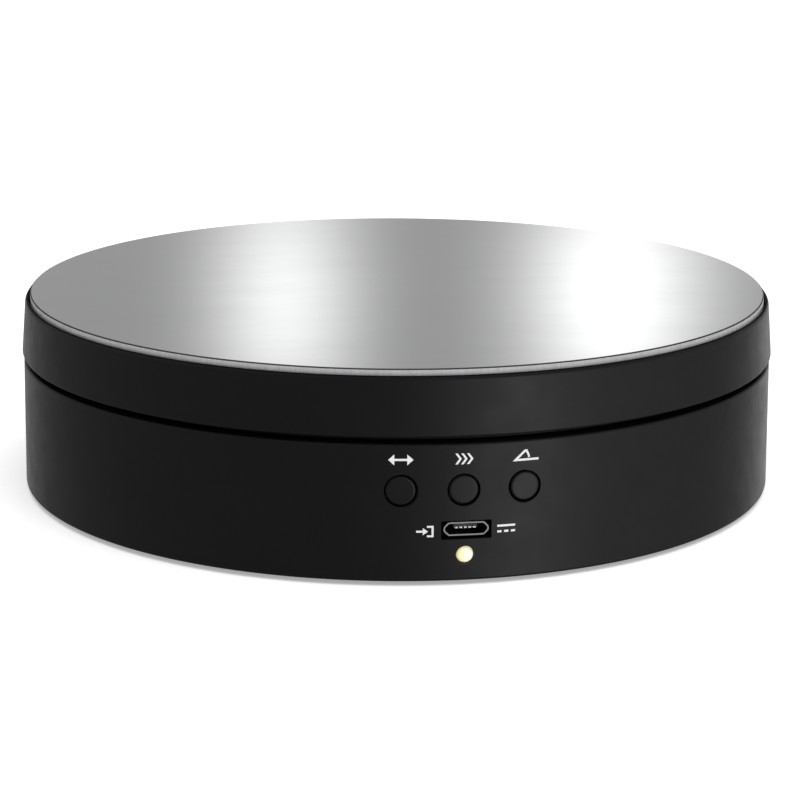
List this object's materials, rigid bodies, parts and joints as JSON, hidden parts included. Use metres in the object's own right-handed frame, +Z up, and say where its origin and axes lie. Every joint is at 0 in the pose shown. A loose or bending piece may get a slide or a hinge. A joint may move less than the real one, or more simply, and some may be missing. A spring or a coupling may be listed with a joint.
{
  "type": "turntable display stand",
  "caption": "Round motorised turntable display stand: a mirrored platter on a ball race, driven by a geared motor, over a black case with push-buttons, a power socket and a status light.",
  "frame": {"origin": "on the table under the platter's axis, at the bottom of the rubber feet", "axes": "+Z up along the platter's axis; the push-buttons, power socket and status light face -Y; +X to the right of someone facing the controls"},
  "size_m": [0.146, 0.146, 0.038],
  "materials": {
    "black_abs": "fine spark-eroded satin",
    "button_abs": "slightly smoother satin than the case",
    "mirror": "polished silver mirror with a ground edge",
    "foam_tape": "closed-cell foam tape",
    "steel": "plain ground steel",
    "zinc_plate": "zinc plated",
    "brass": "turned brass",
    "white_pom": "natural acetal",
    "rubber": "matt black",
    "blue_nylon": "blue nylon moulding",
    "board_green": "glass-fibre board with solder mask",
    "black_resin": "moulded resin",
    "lamp_lens": "diffused warm-white lens, lit",
    "wire_insulation": "flexible wire insulation"
  },
  "bodies": {
    "base": {"base_housing": "black_abs", "angle_switch_body": "black_resin", "board_screw_1": "zinc_plate", "board_screw_2": "zinc_plate", "bottom_cover": "black_abs", "case_screw_1": "zinc_plate", "case_screw_2": "zinc_plate", "case_screw_3": "zinc_plate", "case_screw_4": "zinc_plate", "control_board": "board_green", "direction_switch_body": "black_resin", "led_spacer": "black_resin", "lower_race": "steel", "microcontroller": "black_resin", "motor_can": "zinc_plate", "motor_driver_chip": "black_resin", "motor_lead": "wire_insulation", "motor_screw_1": "zinc_plate", "motor_screw_2": "zinc_plate", "motor_socket": "white_pom", "motor_wire_cap": "blue_nylon", "rubber_foot_1": "rubber", "rubber_foot_2": "rubber", "rubber_foot_3": "rubber", "rubber_foot_4": "rubber", "speed_switch_body": "black_resin", "spindle_bush": "brass", "status_led": "lamp_lens", "thrust_washer": "white_pom", "usb_socket_shell": "steel", "usb_socket_tongue": "black_resin"},
    "platter": {"platter_shell": "black_abs", "mirror_disc": "mirror", "mirror_tape": "foam_tape", "ring_gear": "white_pom", "ring_gear_screw_1": "zinc_plate", "ring_gear_screw_2": "zinc_plate", "ring_gear_screw_3": "zinc_plate", "upper_race": "steel", "spindle": "steel", "retaining_clip": "steel"},
    "ball_cage": {"ball_cage": "white_pom", "bearing_ball_01": "steel", "bearing_ball_02": "steel", "bearing_ball_03": "steel", "bearing_ball_04": "steel", "bearing_ball_05": "steel", "bearing_ball_06": "steel", "bearing_ball_07": "steel", "bearing_ball_08": "steel", "bearing_ball_09": "steel", "bearing_ball_10": "steel"},
    "drive": {"motor_shaft": "steel", "drive_pinion": "white_pom"},
    "direction_key": {"direction_button": "button_abs", "direction_switch_plunger": "white_pom"},
    "speed_key": {"speed_button": "button_abs", "speed_switch_plunger": "white_pom"},
    "angle_key": {"angle_button": "button_abs", "angle_switch_plunger": "white_pom"}
  },
  "joints": [
    {"name": "platter_spin", "type": "hinge", "parent": "base", "child": "platter", "pos_m": [0, 0, 0], "axis": [0, 0, 1], "continuous": true},
    {"name": "cage_spin", "type": "hinge", "parent": "base", "child": "ball_cage", "pos_m": [0, 0, 0.0285], "axis": [0, 0, 1], "continuous": true},
    {"name": "drive_spin", "type": "hinge", "parent": "base", "child": "drive", "pos_m": [0, 0.035, 0.029], "axis": [0, 0, 1], "continuous": true},
    {"name": "direction_press", "type": "slide", "parent": "base", "child": "direction_key", "axis": [0, 1, 0], "range_m": [0, 0.0003], "stiffness_N_per_m": 1500, "springref_m": -0.0005},
    {"name": "speed_press", "type": "slide", "parent": "base", "child": "speed_key", "axis": [0, 1, 0], "range_m": [0, 0.0003], "stiffness_N_per_m": 1500, "springref_m": -0.0005},
    {"name": "angle_press", "type": "slide", "parent": "base", "child": "angle_key", "axis": [0, 1, 0], "range_m": [0, 0.0003], "stiffness_N_per_m": 1500, "springref_m": -0.0005}
  ],
  "couplings": [
    {"joint": "cage_spin", "follows": "platter_spin", "ratio": 0.5},
    {"joint": "drive_spin", "follows": "platter_spin", "ratio": 5.6667}
  ]
}
